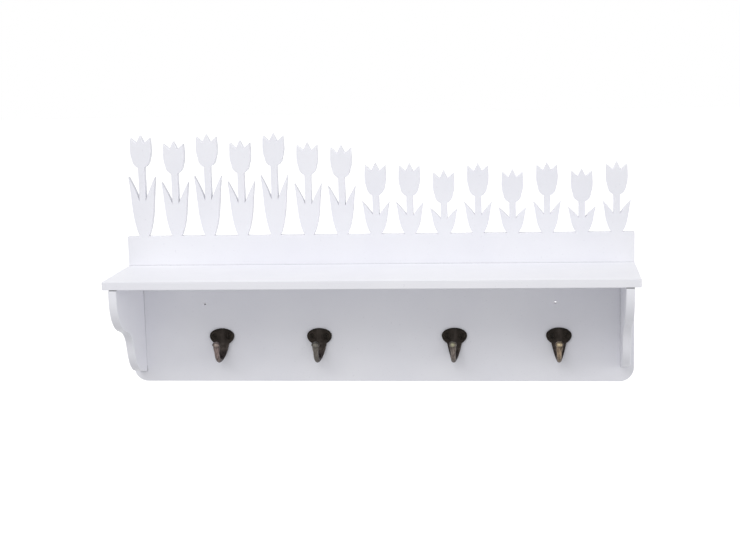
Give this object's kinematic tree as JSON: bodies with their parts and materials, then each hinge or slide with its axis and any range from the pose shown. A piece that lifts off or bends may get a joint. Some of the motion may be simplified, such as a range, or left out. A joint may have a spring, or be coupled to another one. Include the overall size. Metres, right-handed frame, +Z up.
{
  "type": "wall coat rack",
  "caption": "Painted wall coat rack: a back board with a cut-out tulip crest, a hat shelf on two ogee brackets, and cast single-prong coat hooks.",
  "frame": {"origin": "midway between the two wall-screw holes, on the back face of the panel", "axes": "+X along the rack to the right as seen from the room, +Y into the wall, +Z up; the rack faces -Y"},
  "size_m": [0.701, 0.149, 0.348],
  "materials": {
    "painted_board": "satin white paint on fibreboard",
    "antique_casting": "dark antique bronze, rubbed brighter on the prongs",
    "antique_screw": "dark antique bronze",
    "zinc_screw": "bright zinc",
    "dowel_wood": "plain beech"
  },
  "bodies": {
    "root": {"back_panel": "painted_board", "shelf_board": "painted_board", "bracket_left": "painted_board", "bracket_right": "painted_board", "hook_1": "antique_casting", "hook_2": "antique_casting", "hook_3": "antique_casting", "hook_4": "antique_casting", "hook_1_screw_left": "antique_screw", "hook_1_screw_right": "antique_screw", "hook_2_screw_left": "antique_screw", "hook_2_screw_right": "antique_screw", "hook_3_screw_left": "antique_screw", "hook_3_screw_right": "antique_screw", "hook_4_screw_left": "antique_screw", "hook_4_screw_right": "antique_screw", "shelf_screw_1": "zinc_screw", "shelf_screw_2": "zinc_screw", "shelf_screw_3": "zinc_screw", "shelf_screw_4": "zinc_screw", "bracket_left_screw_top": "zinc_screw", "bracket_left_screw_low": "zinc_screw", "bracket_right_screw_top": "zinc_screw", "bracket_right_screw_low": "zinc_screw", "bracket_left_dowel_rear": "dowel_wood", "bracket_left_dowel_front": "dowel_wood", "bracket_right_dowel_rear": "dowel_wood", "bracket_right_dowel_front": "dowel_wood"}
  },
  "joints": []
}
